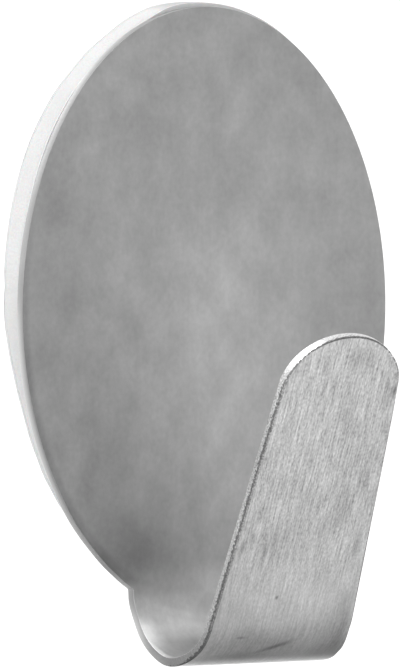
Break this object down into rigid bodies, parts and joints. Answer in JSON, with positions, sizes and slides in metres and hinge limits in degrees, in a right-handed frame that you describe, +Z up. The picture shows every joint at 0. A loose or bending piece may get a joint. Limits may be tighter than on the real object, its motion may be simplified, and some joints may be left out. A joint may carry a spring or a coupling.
{
  "type": "adhesive wall hook",
  "caption": "Stick-on wall hook: an oval steel plate whose lower end folds into an upswept J hook with a rounded tongue, on a foam adhesive pad with a peel-off liner.",
  "frame": {"origin": "on the wall, at the rear face of the pad's liner, level with the middle of the oval plate", "axes": "+Y points into the wall, the hook reaches out along -Y, +Z is up and +X is to the right as seen from the front"},
  "size_m": [0.038, 0.0228, 0.0548],
  "materials": {
    "brushed_steel_sheet": "satin",
    "adhesive_film": "satin",
    "white_foam": "matte",
    "liner_paper": "satin"
  },
  "bodies": {
    "hook": {"hook_plate": "brushed_steel_sheet", "plate_adhesive": "adhesive_film", "foam_core": "white_foam", "wall_adhesive": "adhesive_film"},
    "liner": {"release_liner": "liner_paper"}
  },
  "joints": [
    {"name": "liner_peel", "type": "slide", "parent": "hook", "child": "liner", "axis": [0, 1, 0], "range_m": [0, 0.03]}
  ]
}
